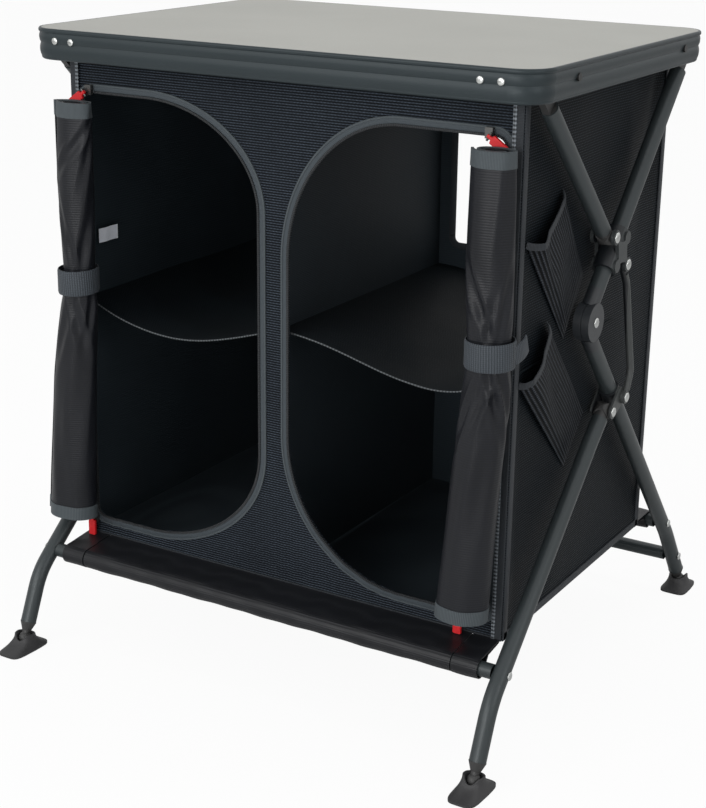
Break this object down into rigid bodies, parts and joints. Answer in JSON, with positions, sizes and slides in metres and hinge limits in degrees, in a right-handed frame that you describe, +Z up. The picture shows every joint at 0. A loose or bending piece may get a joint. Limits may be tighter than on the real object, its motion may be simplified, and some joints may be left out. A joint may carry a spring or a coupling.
{
  "type": "folding camping kitchen cupboard",
  "caption": "Folding camping kitchen cupboard: a rimmed worktop on a scissor-leg tube frame, with a fabric cabinet, roll-up doors and mesh side pockets hung beneath it.",
  "frame": {"origin": "on the ground, at the middle of the four feet's outer edges, under the middle of the worktop", "axes": "+X to the right as seen from the front, +Y to the back, +Z up"},
  "size_m": [0.698, 0.708, 0.793],
  "materials": {
    "tabletop": "matt speckled laminate",
    "rim_metal": "satin anodised",
    "brace_metal": "satin",
    "silver_metal": "polished",
    "dark_screw": "satin black",
    "tube_metal": "satin anodised",
    "tube_end_plastic": "moulded",
    "cast_metal": "satin cast",
    "bracket_metal": "satin",
    "knuckle_plastic": "moulded",
    "foot_rubber": "matt",
    "red_plastic": "gloss",
    "red_cord": "woven cord",
    "side_cloth": "ribbed weave",
    "lining_cloth": "plain weave",
    "pocket_mesh": "fine mesh",
    "roll_cloth": "ripstop with a slight sheen",
    "strap_webbing": "webbing",
    "zip_tape": "woven tape",
    "slider_metal": "satin",
    "sleeve_cloth": "plain weave"
  },
  "bodies": {
    "top_and_cabinet": {"worktop_panel": "tabletop", "worktop_rim": "rim_metal", "rim_rivets": "silver_metal", "rim_screws": "dark_screw", "underside_braces": "brace_metal", "front_hinge_brackets": "brace_metal", "rear_hinge_brackets": "brace_metal", "hinge_pins": "silver_metal", "top_zip_sliders": "slider_metal", "front_wall": "side_cloth", "back_wall": "side_cloth", "right_side_wall": "side_cloth", "left_side_wall": "side_cloth", "cabinet_floor": "lining_cloth", "cabinet_roof": "lining_cloth", "centre_divider": "side_cloth", "left_shelf": "lining_cloth", "right_shelf": "lining_cloth", "left_zip": "zip_tape", "right_zip": "zip_tape", "side_pockets": "pocket_mesh", "left_door_roll": "roll_cloth", "right_door_roll": "roll_cloth", "roll_straps": "strap_webbing"},
    "upper_front": {"upper_front_tubes": "tube_metal", "upper_front_tube_ends": "tube_end_plastic"},
    "lock_clamps": {"clamps": "cast_metal", "clamp_rivets": "silver_metal"},
    "button_right": {"button_right": "red_plastic"},
    "button_left": {"button_left": "red_plastic"},
    "upper_rear": {"upper_rear_tubes": "tube_metal", "upper_rear_tube_ends": "tube_end_plastic", "knuckle_outer_halves": "knuckle_plastic", "knuckle_rivets": "silver_metal"},
    "rear_legs": {"rear_leg_tubes": "tube_metal", "knuckle_inner_halves": "knuckle_plastic", "rear_foot_plugs": "tube_end_plastic", "cross_brackets": "bracket_metal", "cross_rivets": "silver_metal", "rear_rails": "tube_metal", "rear_rail_rivets": "silver_metal", "rear_rail_sleeve": "sleeve_cloth"},
    "links": {"link_bars": "bracket_metal", "link_rivets": "silver_metal"},
    "front_legs": {"front_leg_tubes": "tube_metal", "front_leg_tube_ends": "tube_end_plastic", "front_foot_plugs": "tube_end_plastic", "front_cross_rail": "tube_metal", "front_rail_rivets": "silver_metal", "front_rail_sleeve": "sleeve_cloth", "low_zip_sliders": "slider_metal"},
    "front_left_foot": {"front_left_foot": "foot_rubber"},
    "front_right_foot": {"front_right_foot": "foot_rubber"},
    "rear_left_foot": {"rear_left_foot": "foot_rubber"},
    "rear_right_foot": {"rear_right_foot": "foot_rubber"},
    "left_top_pull": {"left_top_pull": "red_cord"},
    "right_top_pull": {"right_top_pull": "red_cord"},
    "left_low_pull": {"left_low_pull": "red_cord"},
    "right_low_pull": {"right_low_pull": "red_cord"}
  },
  "joints": [
    {"name": "frame_fold", "type": "hinge", "parent": "top_and_cabinet", "child": "upper_front", "pos_m": [0, -0.204, 0.764], "axis": [1, 0, 0], "range_deg": [0, 27.03], "deforming": ["front_wall", "back_wall", "right_side_wall", "left_side_wall", "cabinet_floor", "cabinet_roof", "centre_divider", "left_shelf", "right_shelf", "left_zip", "right_zip", "side_pockets", "left_door_roll", "right_door_roll", "roll_straps"]},
    {"name": "clamp_pivot", "type": "hinge", "parent": "upper_front", "child": "lock_clamps", "pos_m": [0, -0.011, 0.577], "axis": [1, 0, 0], "range_deg": [-36.8, 0.1]},
    {"name": "tube_slide", "type": "slide", "parent": "lock_clamps", "child": "upper_rear", "axis": [0, -0.6895, -0.7242], "range_m": [-0.0002, 0.1155]},
    {"name": "knuckle", "type": "hinge", "parent": "upper_rear", "child": "rear_legs", "pos_m": [0, -0.046, 0.482], "axis": [1, 0, 0], "range_deg": [-0.1, 39.7]},
    {"name": "link_swing", "type": "hinge", "parent": "lock_clamps", "child": "links", "pos_m": [0, 0.029, 0.537], "axis": [1, 0, 0], "range_deg": [-9.3, 0.1]},
    {"name": "leg_cross", "type": "hinge", "parent": "rear_legs", "child": "front_legs", "pos_m": [0, 0.017, 0.355], "axis": [1, 0, 0], "range_deg": [-32.8, 0.1]},
    {"name": "press_right", "type": "slide", "parent": "lock_clamps", "child": "button_right", "axis": [0, -0.7242, 0.6895], "range_m": [0, 0.003], "stiffness_N_per_m": 300, "springref_m": -0.002},
    {"name": "press_left", "type": "slide", "parent": "lock_clamps", "child": "button_left", "axis": [0, -0.7242, 0.6895], "range_m": [0, 0.003], "stiffness_N_per_m": 300, "springref_m": -0.002},
    {"name": "front_left_tilt", "type": "hinge", "parent": "front_legs", "child": "front_left_foot", "pos_m": [-0.33, -0.317, 0.014], "axis": [1, 0, 0], "range_deg": [-12, 12]},
    {"name": "front_right_tilt", "type": "hinge", "parent": "front_legs", "child": "front_right_foot", "pos_m": [0.33, -0.317, 0.014], "axis": [1, 0, 0], "range_deg": [-12, 12]},
    {"name": "rear_left_tilt", "type": "hinge", "parent": "rear_legs", "child": "rear_left_foot", "pos_m": [-0.33, 0.326, 0.014], "axis": [1, 0, 0], "range_deg": [-12, 12]},
    {"name": "rear_right_tilt", "type": "hinge", "parent": "rear_legs", "child": "rear_right_foot", "pos_m": [0.33, 0.326, 0.014], "axis": [1, 0, 0], "range_deg": [-12, 12]},
    {"name": "left_top_swing", "type": "hinge", "parent": "top_and_cabinet", "child": "left_top_pull", "pos_m": [-0.278, -0.2183, 0.7165], "axis": [-0.5736, 0, 0.8192], "range_deg": [0, 100]},
    {"name": "right_top_swing", "type": "hinge", "parent": "top_and_cabinet", "child": "right_top_pull", "pos_m": [0.27, -0.2183, 0.7165], "axis": [0.5736, 0, 0.8192], "range_deg": [-100, 0]},
    {"name": "left_low_swing", "type": "hinge", "parent": "front_legs", "child": "left_low_pull", "pos_m": [-0.291, -0.2183, 0.1585], "axis": [-1, 0, 0], "range_deg": [0, 100]},
    {"name": "right_low_swing", "type": "hinge", "parent": "front_legs", "child": "right_low_pull", "pos_m": [0.253, -0.2183, 0.1585], "axis": [1, 0, 0], "range_deg": [-100, 0]}
  ],
  "couplings": [
    {"joint": "clamp_pivot", "follows": "frame_fold", "ratio": -1.3566},
    {"joint": "tube_slide", "follows": "frame_fold", "m_per_rad": 0.24375},
    {"joint": "knuckle", "follows": "frame_fold", "ratio": 1.4623},
    {"joint": "link_swing", "follows": "frame_fold", "ratio": -0.33642},
    {"joint": "leg_cross", "follows": "frame_fold", "ratio": -1.2056}
  ]
}
